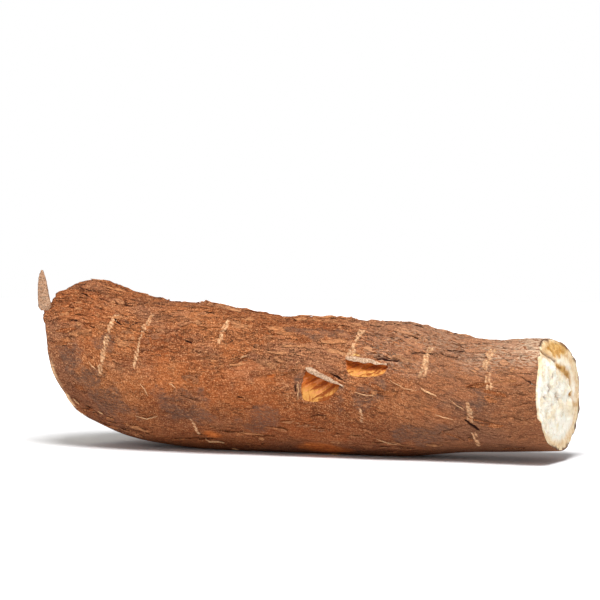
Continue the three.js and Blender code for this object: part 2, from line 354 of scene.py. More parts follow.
def depth_inside(x, turn, outline):
    """How far inside an outline of (x, turn) points a point is, in millimetres; less than 0 outside."""
    middle = outline.mean(0)
    reach = np.full_like(x, 99.0)
    for (ax, at), (bx, bt) in zip(outline, np.roll(outline, -1, axis=0)):
        run = np.array([bx - ax, (bt - at) * MM_PER_DEGREE])
        normal = np.array([-run[1], run[0]]) / np.hypot(*run)
        normal *= np.sign(normal @ ((middle - (ax, at)) * (1, MM_PER_DEGREE)))
        distance = (x - ax) * normal[0] + (turn - at) * MM_PER_DEGREE * normal[1]
        reach = np.minimum(reach, distance)
    return reach


def bare_patches(x, turn):
    """How deep the nicks go, where they are bare, how far down its patch a point is, and where
    other things keep clear."""
    depth, bare, shade, room = (np.zeros_like(x) for _ in range(4))
    for nick in NICKS:
        outline = rounded(nick["patch"])
        top, foot = outline[:, 1].min(), outline[:, 1].max()
        outline[:, 1] -= UNDERCUT * (foot - outline[:, 1]) / (foot - top)
        share = np.clip((turn - top) / (foot - top), 0, 1)
        reach = depth_inside(x, turn, outline)
        patch = step(reach, -0.35, 0.35)
        depth = np.maximum(depth, patch * mix(NICK_DEPTH, 0.5, share))
        bare = np.maximum(bare, patch)
        # From 0 at a patch's top under its sliver to 1 at its foot; the finish paints the top darker, partly
        # for the deeper cut's colour and partly as painted shade under the sliver
        shade = np.where(patch > 0.01, share, shade)
        room = np.maximum(room, step(reach, -5.5, -3.0))
    return depth, bare, shade, room


def named_cracks(x, turn):
    """How deep each of the cracks that stand out is at a point, from 0 to 1."""
    opened = np.zeros_like(x)
    across = turn * MM_PER_DEGREE + 0.5 * noise(x / 1.6, turn / 3, 5.0)
    for half, dark, path in CRACKS:
        away, share = near_path(x, across, [(px, pturn * MM_PER_DEGREE) for px, pturn in path])
        width = half * (0.35 + 0.65 * np.sqrt(np.clip(4 * share * (1 - share), 0, 1)))
        opened = np.maximum(opened, dark * ridge(away, width))
    return opened


def smooth_bark(x, turn):
    """The bark without its fine relief: the root's middle, the way out from it, how far out the bark
    lies on the plain oval, and how far it swells from that."""
    side, up = -np.sin(np.radians(turn)), np.cos(np.radians(turn))
    y, z, wide, high = along(x)
    oval = wide * high / np.hypot(high * side, wide * up)
    py, pz = y + oval * side, z + oval * up
    swell = 1.4 * noise(x / 38, py / 26, pz / 26) + 0.8 * noise(x / 18, py / 6, pz / 6)
    return y, z, side, up, oval, swell


def outwards(x, y, z, side, up, reach):
    """Points so far out from the root's middle, and none of them under the floor."""
    return np.stack([x, y + reach * side, np.maximum(z + reach * up, 0)], -1)


def bark_base(x, turn, lift):
    """Points at a lift off the bark without its fine relief."""
    y, z, side, up, oval, swell = smooth_bark(x, turn)
    return outwards(x, y, z, side, up, oval + step(up, *UNDERSIDE) * swell + lift)


def cut_x(cut, points):
    """Where a knife cut lies along x at each point."""
    lean = cut["lean_y"] * (points[..., 1] - cut["y"]) + cut["lean_z"] * (points[..., 2] - cut["z"])
    return cut["x"] + lean


def bark_surface(x, turn):
    """Points on the bark and the masks that its finish reads."""
    turn = turn % 360
    y, z, side, up, oval, swell = smooth_bark(x, turn)

    # The grain turns round the root a little towards the thin end
    grain_turn = turn - TWIST * step(x, *TWIST_FROM_TO)
    gy = GRAIN_RADIUS * np.sin(np.radians(grain_turn))
    gz = GRAIN_RADIUS * np.cos(np.radians(grain_turn))
    top = step(up + 0.3 * noise(x / 14, gy / 9, gz / 9), 0.15, 0.8)
    thin = step(x, 20, 80)
    rough = mix(0.4, 1.0, top) * mix(1.0, 0.75, thin)

    ragged = 2.2 * layered(x / 4.5, gy / 2.5, gz / 2.5, 2)
    arc = (grain_turn / 360 + 0.004 * layered(x / 3.5, gy / 4, gz / 4 + 9, 2)) % 1
    big_edge, big_plate, big_place = plates(x + ragged, arc, 13, 44, 3)
    small_edge, small_plate, _ = plates(x + ragged, arc, 6, 80, 31)
    open_cracks = step(noise(x / 9, gy / 6, gz / 6 + 3), mix(0.25, -0.35, top), mix(0.6, 0.1, top))
    crack = (1 - step(big_edge, 0.0, 0.1)) * open_cracks
    fine_crack = (1 - step(small_edge, 0.0, 0.2)) * step(noise(x / 5, gy / 4, gz / 4), -0.1, 0.35)
    lifted = 0.16 * big_plate + 0.2 * big_place * big_plate + 0.08 * small_plate
    fibres = 0.08 * layered(x / 6, gy / 1.2, gz / 1.2, 2)
    creases = 0.09 * layered((x + 0.6 * gz) / 2.4, gy / 7, gz / 7, 2) * mix(0.4, 1.0, thin)
    bar_lift, cork, cork_room = cork_bars(x, turn)
    depth, bare, shade, nick_room = bare_patches(x, turn)
    named = named_cracks(x, turn) * (1 - bare)
    rubbed = blot(x, turn, RUBBED, 0.12)
    lump = blot(x, turn, EARTH_LUMP, 0.3)

    fine = rough * lifted + fibres + creases - 0.35 * rough * crack - 0.18 * fine_crack
    fine = fine * (1 - 0.85 * rubbed) * (1 - 0.6 * cork) + bar_lift - 0.9 * named + 0.7 * lump
    reach = oval + step(up, *UNDERSIDE) * (swell + fine * (1 - bare)) - depth
    points = outwards(x, y, z, side, up, reach)

    rim_x = cut_x(THICK_END, points)
    clear_ends = band(x, rim_x + 5, rim_x + 10, 101, 107)
    patchy = step(noise(x / 13, gy / 8, gz / 8 + 5), -0.45, 0.35)
    below = 0.25 * band(-up, 0.3, 0.7, 0.82, 0.9)
    loose = (step(up, -0.45, 0.75) ** 1.6 + below) * patchy
    grey_end = step(x, 80, 108) * step(up, 0.35, 0.85)
    lip = (1 - step(x, rim_x + 1.4, rim_x + 2.8)) * step(noise(turn / 6, 1.0, 1.0), -0.6, 0.1)
    ways = math.radians(TWIST) * (step(x + 1, *TWIST_FROM_TO) - step(x - 1, *TWIST_FROM_TO)) / 2
    return points, {
        "grain": np.stack([x, gy, gz], -1) * MM,
        "way": np.stack([np.ones_like(x), -GRAIN_RADIUS * ways * up, GRAIN_RADIUS * ways * side], -1),
        "top": top,
        "thin": thin,
        "crack": np.clip(0.2 * crack + 0.12 * fine_crack, 0, 1) * (1 - bare) * (1 - cork),
        "named": named,
        "lump": lump,
        "cork": cork * (1 - bare),
        "bare": bare,
        "shade": shade,
        "rubbed": rubbed,
        "stain": blot(x, turn, STAINS, 0.75),
        "warm": blot(x, turn, WARM, 0.6),
        "pale": np.clip(grey_end + 0.35 * top * band(x, 15, 50, 88, 100), 0, 1),
        "lip": lip * band(turn, 74, 86, 300, 330),
        # Painted shade: how far the skin faces down, used to darken the bark towards its underside
        "under": step(-up, 0.1, 0.75),
        "loose": loose * (1 - nick_room) * (1 - cork_room) * (1 - rubbed) * clear_ends,
    }


def on_cut(points, cut, back):
    """The points moved along x onto a knife cut, so many millimetres behind it."""
    moved = points.copy()
    moved[..., 0] = cut_x(cut, points) - back
    return moved


def round_value(turn, table):
    """A value that changes smoothly round the root, through (turn, value) pairs."""
    turns, values = np.array(table, float).T
    turns = np.concatenate([turns[-1:] - 360, turns, turns[:1] + 360])
    values = np.concatenate([values[-1:], values, values[:1]])
    i = np.clip(np.searchsorted(turns, turn, side="right") - 1, 0, len(turns) - 2)
    return mix(values[i], values[i + 1], step((turn - turns[i]) / (turns[i + 1] - turns[i]), 0, 1))


def near_path(y, z, path):
    """How far points are from a path of straight stretches, and how far along it from 0 to 1."""
    distance = np.full_like(y, 99.0)
    share = np.zeros_like(y)
    for n, ((ay, az), (by, bz)) in enumerate(zip(path, path[1:])):
        run = np.array([by - ay, bz - az])
        t = np.clip(((y - ay) * run[0] + (z - az) * run[1]) / (run @ run), 0, 1)
        away = np.hypot(y - ay - t * run[0], z - az - t * run[1])
        share = np.where(away < distance, (n + t) / (len(path) - 1), share)
        distance = np.minimum(distance, away)
    return distance, share


def top_slope(turn):
    """How far the thin end is broken back at its top, in a slope down to the cut."""
    return 6.0 * np.maximum(np.cos(np.radians(turn - 14)), 0) ** 6


def chipped_back(turn):
    """How far the thin end's rim is chipped on its near side."""
    chip = 1.5 * band(turn, 40, 46, 106, 112)
    near = np.maximum(np.sin(np.radians(turn)), 0)
    return chip + mix(0.4, 0.08, near) * noise(turn / 7, 3.0, 9.0)


def broken_back(turn):
    """How far the thin end's rim lies behind the cut."""
    return chipped_back(turn) + top_slope(turn)


def thick_back(turn):
    """The thick end's rim: a tab stands out where the strip is torn up."""
    tab = mix(3.5 * step(turn, 2, 26), 5.5, step(turn, 32, 44)) * (1 - step(turn, 52, 80))
    torn = 0.6 * noise(turn / 3, 7.0, 5.0) * band(turn, 2, 12, 60, 80)
    return tab + torn + 0.4 * noise(turn / 9, 7.0, 2.0)


def rim(cut, turns, back):
    """The bark's edge on a knife cut."""
    points, _ = bark_surface(np.full_like(turns, cut["x"]), turns)
    for _ in range(6):
        points, _ = bark_surface(on_cut(points, cut, back)[:, 0], turns)
    return points


def loft_faces(rings, around):
    """Quads between closed rings of points, and a fan over each end to the two points after them."""
    first = rings * around
    j = np.arange(around)
    k = (j + 1) % around
    faces = [(first, b, a) for a, b in zip(j.tolist(), k.tolist())]
    start = (rings - 1) * around
    faces += [(first + 1, start + a, start + b) for a, b in zip(j.tolist(), k.tolist())]
    for row in range(rings - 1):
        low = row * around
        quads = np.stack([low + j, low + k, low + around + k, low + around + j], -1)
        faces += [tuple(quad) for quad in quads.tolist()]
    return faces


def placed(name, data):
    """A new object in the scene."""
    thing = bpy.data.objects.new(name, data)
    bpy.context.scene.collection.objects.link(thing)
    return thing


def loft(name, sets, material, masks=None):
    """An object that is closed through the rings of each set, in millimetres. Where it has masks, it
    has one set of rings, and they hold a value for each point."""
    points, faces = [], []
    for rings in sets:
        start = sum(map(len, points))
        points += [rings.reshape(-1, 3), rings[0].mean(0, keepdims=True), rings[-1].mean(0, keepdims=True)]
        faces += [tuple(start + corner for corner in face) for face in loft_faces(*rings.shape[:2])]
    mesh = bpy.data.meshes.new(name)
    mesh.from_pydata((np.concatenate(points) * MM).tolist(), [], faces)
    for key, values in (masks or {}).items():
        depth = values.shape[2:]
        ends = [values[0].mean(0, keepdims=True), values[-1].mean(0, keepdims=True)]
        values = np.concatenate([values.reshape(-1, *depth), *ends]).astype(np.float32)
        kind, field = ("FLOAT_VECTOR", "vector") if depth else ("FLOAT", "value")
        mesh.attributes.new(key, kind, "POINT").data.foreach_set(field, values.ravel())
    mesh.shade_smooth()
    mesh.materials.append(material)
    return placed(name, mesh)


def fit(piece):
    """The piece belongs to the root."""
    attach(piece, "root")


# Shader helpers

def linear(colour):
    """A screen colour as the linear colour that shaders use. A socket stays as it is."""
    if isinstance(colour, bpy.types.NodeSocket):
        return colour
    parts = [v / 255 for v in colour]
    return tuple(v / 12.92 if v <= 0.04045 else ((v + 0.055) / 1.055) ** 2.4 for v in parts) + (1,)


class Nodes:
    """Adds nodes to one tree. Each value is a number or a socket, and each colour a socket or the red,
    green and blue of a screen colour."""

    def __init__(self, tree):
        self.tree = tree

    def add(self, kind, sockets=None, **settings):
        """The outputs of a new node with its settings, and its inputs linked or set."""
        node = self.tree.nodes.new(kind)
        for key, value in settings.items():
            setattr(node, key, value)
        for key, value in (sockets or {}).items():
            self.give(value, node.inputs[key])
        return node.outputs

    def give(self, value, socket):
        if isinstance(value, bpy.types.NodeSocket):
            self.tree.links.new(value, socket)
        else:
            socket.default_value = value

    def maths(self, operation, a, b):
        return self.add("ShaderNodeMath", {0: a, 1: b}, operation=operation)[0]

    def plus(self, first, *others):
        for other in others:
            first = self.maths("ADD", first, other)
        return first

    def times(self, first, *others):
        for other in others:
            first = self.maths("MULTIPLY", first, other)
        return first

    def vector(self, operation, a, b):
        return self.add("ShaderNodeVectorMath", {0: a, 1: b}, operation=operation)["Vector"]

    def both_ways(self, colour, reach):
        """A noise colour as a shift that goes either way along each axis."""
        return self.vector("MULTIPLY", self.vector("SUBTRACT", colour, (0.5, 0.5, 0.5)), reach)

    def between(self, value, low, high, start, end):
        """The value taken from low..high to start..end, smoothly and held at both."""
        sockets = {"Value": value, "From Min": low, "From Max": high, "To Min": start, "To Max": end}
        return self.add("ShaderNodeMapRange", sockets, interpolation_type="SMOOTHSTEP")["Result"]

    def fade(self, value, low, high, end=1.0):
        """From 0 where the value is low to the end where it is high."""
        return self.between(value, low, high, 0.0, end)

    def blend(self, factor, a, b):
        """Colour a with b over it."""
        sockets = {0: factor, 6: linear(a), 7: linear(b)}
        return self.add("ShaderNodeMix", sockets, data_type="RGBA")[2]

    def layers(self, colour, *rows):
        """A colour with others over it, each with its factor."""
        for factor, over in rows:
            colour = self.blend(factor, colour, over)
        return colour

    def mask(self, name, strength=1.0):
        value = self.add("ShaderNodeAttribute", attribute_name=name)["Fac"]
        return value if strength == 1 else self.times(value, strength)

    def clouds(self, vector, scale, detail, roughness):
        sockets = {"Vector": vector, "Scale": scale, "Detail": detail, "Roughness": roughness}
        return self.add("ShaderNodeTexNoise", sockets)

    def speckle(self, vector, stretch, detail=3.0, roughness=0.6):
        """Noise from 0 to 1 on coordinates that are multiplied by a stretch."""
        return self.clouds(self.vector("MULTIPLY", vector, stretch), 1.0, detail, roughness)["Fac"]

    def use(self, group, sockets):
        return self.add("ShaderNodeGroup", sockets, node_tree=group)


def new_group(name, inputs, build):
    """A shader group: its inputs with their values, and the outputs that build gives."""
    group = bpy.data.node_groups.new(name, "ShaderNodeTree")
    group.interface.new_socket("Vector", in_out="INPUT", socket_type="NodeSocketVector")
    for title, value in inputs.items():
        socket = group.interface.new_socket(title, in_out="INPUT", socket_type="NodeSocketFloat")
        socket.default_value = value
    given = group.nodes.new("NodeGroupInput").outputs
    results = build(Nodes(group), given["Vector"], given)
    for title in results:
        kind = "NodeSocketColor" if title == "Color" else "NodeSocketFloat"
        group.interface.new_socket(title, in_out="OUTPUT", socket_type=kind)
    ends = group.nodes.new("NodeGroupOutput").inputs
    for title, value in results.items():
        group.links.new(value, ends[title])
    return group


def bark_grain(tree, place, given):
    """Fibres that run along the root, with short dark breaks in them."""
    fibre = tree.speckle(place, (620, 1750, 1750))
    dashes = tree.speckle(place, (340, 1500, 1500), 2, 0.5)
    low = tree.maths("SUBTRACT", 0.72, tree.times(given["Break Cover"], 0.2))
    marks = tree.fade(dashes, low, tree.plus(low, 0.06))
    breaks = tree.times(marks, tree.fade(tree.speckle(place, (90, 160, 160), 2), 0.38, 0.6))
    height = tree.maths("SUBTRACT", tree.times(fibre, 0.6), breaks)
    return {"Fibre": fibre, "Breaks": breaks, "Height": height}


def crumbs(tree, place, given):
    """Crumbs and grit of a given size in millimetres."""
    scale = tree.maths("DIVIDE", 1 / MM, given["Size"])
    cells = tree.add("ShaderNodeTexVoronoi", {"Vector": place, "Scale": scale})
    grit = tree.clouds(place, scale, 4.0, 0.7)["Fac"]
    return {"Tint": grit, "Height": tree.maths("SUBTRACT", grit, tree.times(cells["Distance"], 0.5))}


def bark_plates(tree, place, given):
    """Ragged plates that lie along the root, so long and wide in millimetres: the dark gaps between
    them, and a tone for each plate."""
    shift = tree.both_ways(tree.clouds(place, 300.0, 3.0, 0.65)["Color"], (0.012, 0.004, 0.004))
    across = tree.maths("DIVIDE", 1 / MM, given["Width"])
    lengthways = tree.maths("DIVIDE", 1 / MM, given["Length"])
    scale = tree.add("ShaderNodeCombineXYZ", {"X": lengthways, "Y": across, "Z": across})[0]
    place = tree.vector("MULTIPLY", tree.vector("ADD", place, shift), scale)

    def near_edge(vector):
        sockets = {"Vector": vector, "Scale": 1.0}
        edge = tree.add("ShaderNodeTexVoronoi", sockets, feature="DISTANCE_TO_EDGE")["Distance"]
        return tree.between(edge, 0.0, given["Gap"], 1.0, 0.0)

    # A gap that is still there further along runs along the root, and the others are closed
    further = near_edge(tree.vector("ADD", place, (0.17, 0, 0)))
    cell = tree.add("ShaderNodeTexVoronoi", {"Vector": place, "Scale": 1.0})["Color"]
    return {
        "Gaps": tree.times(near_edge(place), tree.fade(further, 0.0, 0.5)),
        "Tone": tree.add("ShaderNodeSeparateColor", {"Color": cell})["Red"],
    }


def bark_skin(tree, place, given):
    """Brown bark: plates, fibres and fine grit. Rough opens the gaps between its plates."""
    grain = tree.use(GRAIN, {"Vector": place, "Break Cover": 0.75})
    grit = tree.use(CRUMBS, {"Vector": place, "Size": 0.52})
    large = tree.use(PLATES, {"Vector": place, "Length": 18.0, "Width": 3.8, "Gap": 0.08})
    small = tree.use(PLATES, {"Vector": place, "Length": 8.0, "Width": 1.7, "Gap": 0.13})
    fibre, tint, rough = grain["Fibre"], grit["Tint"], given["Rough"]
    gate = tree.speckle(place, (80, 190, 190))
    gaps = tree.times(large["Gaps"], tree.fade(tree.plus(gate, tree.times(rough, 0.14)), 0.52, 0.64))
    amount = tree.between(rough, 0.0, 1.0, 0.4, 0.55)
    cracks = tree.times(small["Gaps"], tree.fade(gate, 0.6, 0.45), amount)
    dark = tree.maths("MAXIMUM", tree.times(gaps, tree.between(rough, 0.0, 1.0, 0.5, 0.8)), cracks)
    dark = tree.maths("MAXIMUM", dark, tree.times(grain["Breaks"], amount))
    grey = tree.fade(tree.speckle(place, (26, 44, 44), 5, 0.62), 0.45, 0.64)
    grey = tree.times(grey, tree.between(tint, 0.35, 0.6, 0.3, 0.65))
    colour = tree.layers(
        (142, 77, 41),
        (tree.fade(tree.speckle(place, (34, 50, 50), 4), 0.36, 0.64), (166, 99, 57)),
        (grey, (132, 97, 78)),
        (tree.fade(large["Tone"], 0.3, 1.0, 0.14), (194, 126, 78)),
        (tree.fade(small["Tone"], 0.5, 0.0, 0.12), (112, 60, 34)),
        (tree.fade(fibre, 0.49, 0.36, 0.5), (88, 42, 25)),
        (tree.fade(fibre, 0.55, 0.66, 0.34), (214, 152, 104)),
        (tree.fade(tint, 0.54, 0.66, 0.9), (226, 166, 116)),
        (tree.fade(tint, 0.47, 0.35, 0.85), (78, 38, 23)),
        (dark, (58, 28, 18)),
    )
    raised = tree.plus(
        tree.times(grit["Height"], 0.55),
        grain["Height"],
        tree.times(large["Tone"], 0.5),
        tree.times(small["Tone"], 0.3),
    )
    sunk = tree.plus(tree.times(gaps, 1.2), cracks)
    return {"Color": colour, "Height": tree.maths("SUBTRACT", raised, sunk)}


GRAIN = new_group("bark_grain", {"Break Cover": 0.5}, bark_grain)
CRUMBS = new_group("crumbs", {"Size": 1.0}, crumbs)
PLATES = new_group("bark_plates", {"Length": 12.0, "Width": 4.0, "Gap": 0.1}, bark_plates)
SKIN = new_group("bark_skin", {"Rough": 0.5}, bark_skin)


def new_material(name, roughness, specular):
    """A material, its node tree, its shader's inputs and its object coordinates."""
    material = bpy.data.materials.new(name)
    material.use_nodes = True
    tree = Nodes(material.node_tree)
    shader = material.node_tree.nodes["Principled BSDF"].inputs
    shader["Roughness"].default_value = roughness
    shader["Specular IOR Level"].default_value = specular
    return material, tree, shader, tree.add("ShaderNodeTexCoord")["Object"]


def finish(tree, shader, colour, height, distance):
    """The shader's colour, and its bumps with their height in metres."""
    tree.give(colour, shader["Base Color"])
    bump = tree.add("ShaderNodeBump", {"Height": height, "Distance": distance})
    tree.give(bump["Normal"], shader["Normal"])


def bark_material():
    material, tree, shader, place = new_material("bark", 0.88, 0.08)
    grain = tree.add("ShaderNodeAttribute", attribute_name="grain")["Vector"]
    skin = tree.use(SKIN, {"Vector": grain, "Rough": tree.mask("top")})
    grit = tree.use(CRUMBS, {"Vector": place, "Size": 1.1})
    speck = tree.fade(grit["Tint"], 0.35, 0.65)
    fine = tree.speckle(place, (480, 1300, 1300), 4, 0.7)

    streaks = tree.speckle(place, (900, 900, 200), 4, 0.65)
    slanted = tree.add("ShaderNodeVectorRotate", {"Vector": place, "Axis": (0, 1, 0), "Angle": 0.5})
    tears = tree.speckle(slanted["Vector"], (120, 420, 620))
    is_bare = tree.fade(tree.mask("bare"), 0.4, 0.6)
    bare = tree.layers(
        (174, 88, 31),
        # Each patch is a deeper orange at its top, where the cut goes deepest, and is painted darker there
        # too as shade under its sliver; it pales to gold towards its foot
        (tree.fade(tree.mask("shade"), 0.25, 0.7), (206, 146, 76)),
        (tree.fade(streaks, 0.46, 0.66, 0.6), (150, 70, 26)),
        (tree.fade(tears, 0.5, 0.6, 0.85), (128, 54, 22)),
        (tree.fade(tears, 0.42, 0.34, 0.6), (206, 128, 84)),
        (tree.fade(fine, 0.6, 0.76, 0.5), (240, 200, 130)),
    )
    colour = tree.layers(
        skin["Color"],
        (tree.mask("warm", 0.22), (188, 100, 48)),
        # Painted shade: the bark is darkened towards its underside, where less light reaches
        (tree.mask("under", 0.45), (104, 54, 32)),
        (tree.mask("thin", 0.3), (142, 104, 80)),
        (tree.times(tree.mask("stain"), tree.between(fine, 0.36, 0.62, 0.15, 0.7)), (100, 77, 65)),
        (tree.times(tree.mask("pale", 0.8), tree.fade(fine, 0.42, 0.56)), (222, 192, 162)),
        (tree.mask("lip", 0.9), (232, 188, 144)),
        (tree.mask("crack", 0.8), (52, 24, 16)),
        (tree.mask("lump"), tree.blend(speck, (178, 122, 56), (230, 190, 120))),
        (tree.mask("rubbed"), tree.blend(tree.fade(fine, 0.35, 0.65), (158, 80, 36), (200, 116, 60))),
        (tree.fade(tree.mask("cork"), 0.15, 0.8), tree.blend(speck, (184, 124, 82), (236, 192, 148))),
        (is_bare, bare),
        (tree.fade(tree.mask("named"), 0.25, 0.7), (44, 20, 14)),
    )
    whole = tree.plus(skin["Height"], tree.times(grit["Height"], tree.mask("cork")))
    sockets = {"Factor": is_bare, "A": whole, "B": tree.plus(streaks, tears)}
    height = tree.add("ShaderNodeMix", sockets, data_type="FLOAT")["Result"]
    finish(tree, shader, colour, height, 0.0005)
    return material


def flake_material():
    """Loose bark flakes: each has its own tone, and they are paler than the bark under them."""
    material, tree, shader, place = new_material("bark_flake", 0.88, 0.08)
    skin = tree.use(SKIN, {"Vector": place, "Rough": 0.0})
    tone = tree.mask("tone")
    colour = tree.layers(
        skin["Color"],
        (tree.between(tone, 0.0, 0.5, 0.25, 0.0), (124, 68, 38)),
        (tree.fade(tone, 0.5, 1.0, 0.45), (210, 150, 102)),
        (tree.mask("pale", 0.65), (196, 162, 134)),
    )
    finish(tree, shader, colour, skin["Height"], 0.0004)
    return material


def torn_material(name, dark, light):
    """The pale, fibrous inside of bark, with its brown skin left on the outside."""
    material, tree, shader, place = new_material(name, 0.88, 0.1)
    skin = tree.use(SKIN, {"Vector": place, "Rough": 0.4})
    grit = tree.use(CRUMBS, {"Vector": place, "Size": 0.7})
    torn = tree.blend(tree.fade(grit["Tint"], 0.35, 0.65), dark, light)
    colour = tree.blend(tree.mask("skin"), torn, skin["Color"])
    finish(tree, shader, colour, tree.plus(skin["Height"], grit["Height"]), 0.0004)
    return material


def flesh_material():
    """White crumbly flesh inside a tan peel, with brown marks and an ochre lobe."""
    material, tree, shader, place = new_material("flesh", 0.7, 0.2)
    shader["Subsurface Weight"].default_value = 0.2
    shader["Subsurface Radius"].default_value = (0.003, 0.002, 0.0015)
    shader["Subsurface Scale"].default_value = 1.0
    grit = tree.use(CRUMBS, {"Vector": place, "Size": 0.9})
    lumps = tree.speckle(place, (420, 420, 420), 4, 0.7)
    peel = tree.layers(
        (226, 188, 140),
        (tree.fade(lumps, 0.38, 0.6), (244, 220, 182)),
        (tree.fade(grit["Tint"], 0.6, 0.75, 0.6), (172, 118, 62)),
    )
    ochre = tree.blend(tree.fade(lumps, 0.4, 0.6), (192, 134, 58), (222, 178, 108))
    colour = tree.layers(
        (255, 248, 233),
        (tree.fade(tree.speckle(place, (130, 130, 130), 4), 0.42, 0.66), (248, 231, 200)),
        (tree.fade(lumps, 0.46, 0.3, 0.7), (222, 196, 156)),
        (tree.fade(grit["Tint"], 0.66, 0.78, 0.7), (176, 140, 98)),
        (tree.mask("peel"), peel),
        (tree.mask("ochre"), ochre),
        (tree.mask("mark"), (122, 74, 34)),
        (tree.mask("bark_edge"), (88, 48, 28)),
    )
    finish(tree, shader, colour, tree.plus(tree.times(lumps, 1.4), grit["Height"]), 0.0006)
    return material


BARK = bark_material()
BARK_FLAKE = flake_material()
INNER_BARK = torn_material("inner_bark", (164, 126, 98), (218, 187, 158))
PALE_FIBRE = torn_material("pale_fibre", (198, 144, 102), (230, 184, 138))
FLESH = flesh_material()


def bark_piece():
    """The whole bark from rim to rim, closed a little behind both cut faces."""
    turns = np.arange(AROUND) * 360 / AROUND
    turns = turns - CROWDED * np.sin(np.radians(turns - 90))
    rims = [rim(THICK_END, turns, thick_back(turns)), rim(THIN_END, turns, broken_back(turns))]
    share = np.linspace(0, 1, ALONG + 1)[:, None]
    x = mix(rims[0][:, 0], rims[1][:, 0], share)
    points, masks = bark_surface(x, np.broadcast_to(turns, x.shape))

    def lip(edge, inward, back):
        middle = edge.mean(0)
        share = 1 - inward / np.linalg.norm(edge - middle, axis=1, keepdims=True)
        ring = middle + (edge - middle) * share
        ring[:, 0] += back
        return ring

    thick = [lip(rims[0], 3.0, 2.5), lip(rims[0], 1.0, 0.4), lip(rims[0], 0.45, 0.0)]
    thin = [lip(rims[1], 0.45, 0.0), lip(rims[1], 1.0, -0.4), lip(rims[1], 3.0, -2.5)]
    rings = np.concatenate([np.stack(thick), points, np.stack(thin)])
    for key, values in masks.items():
        masks[key] = np.concatenate([values[:1]] * len(thick) + [values] + [values[-1:]] * len(thin))
    return loft("bark", [rings], BARK, masks), rims, turns


def face_piece(name, cut, edge, turns, outward, relief):
    """A cut face: rings from the rim to the middle, with the relief and masks that relief gives."""
    middle = edge.mean(0)
    radius = np.linalg.norm(edge - middle, axis=1)
    rings = []
    layers = []
    for share in np.linspace(1 - 0.4 / radius.mean(), 0.015, FACE_RINGS):
        ring = middle + (edge - middle) * share
        depth = radius * (1 - share)
        back, masks = relief(turns, depth, ring)
        ring = on_cut(ring, cut, back * outward)
        rings.append(ring)
        layers.append(masks)
    hidden = middle + (edge - middle) * (1 - 0.6 / radius.mean())
    hidden[:, 0] -= 3.0 * outward
    rings.insert(0, hidden)
    layers.insert(0, layers[0])
    if outward < 0:
        rings = [ring[::-1] for ring in rings]
        layers = [{key: value[::-1] for key, value in masks.items()} for masks in layers]
    masks = {key: np.stack([layer[key] for layer in layers]) for key in layers[0]}
    return loft(name, [np.stack(rings)], FLESH, masks)


# The thin end's cut face: how thick the peel and the ochre lobe at its top are at each turn, the
# groove between peel and flesh as (y, z), and small holes as y, z and half width
PEEL = [
    (5, 9), (24, 7.5), (42, 2.0), (60, 0.7), (90, 0.4), (112, 0.9), (140, 4), (180, 6.5),
    (225, 8), (255, 8.5), (284, 9), (314, 9), (340, 9.5),
]
LOBE = [(0, 9.5), (12, 8.5), (24, 6.5), (36, 2.5), (48, 0), (180, 0), (322, 0), (338, 5.5), (350, 9)]
GROOVE = [(-2, 42.5), (2.5, 41.4), (7, 40), (11.5, 37.6), (14, 34), (13.6, 29.5)]
LOBE_CREASE = [(-12, 49.5), (-7.5, 47), (-3, 44.6)]
LOBE_SPOT = {"y": 3, "z": 49.5, "wide": 9, "tall": 3.6}
TOP_SLOPE_DEPTH = 12
PITS = [
    (-14.5, 34.2, 1.5), (-14.2, 32.4, 1.2), (-5.7, 29.6, 1.3), (-17.7, 22.2, 1.0), (-9, 38.5, 0.8),
    (-1, 34.5, 0.9), (-12, 26, 0.7), (-20, 30, 0.8), (1, 22, 0.9), (-7, 19, 0.7), (-3.5, 28.2, 0.9),
]


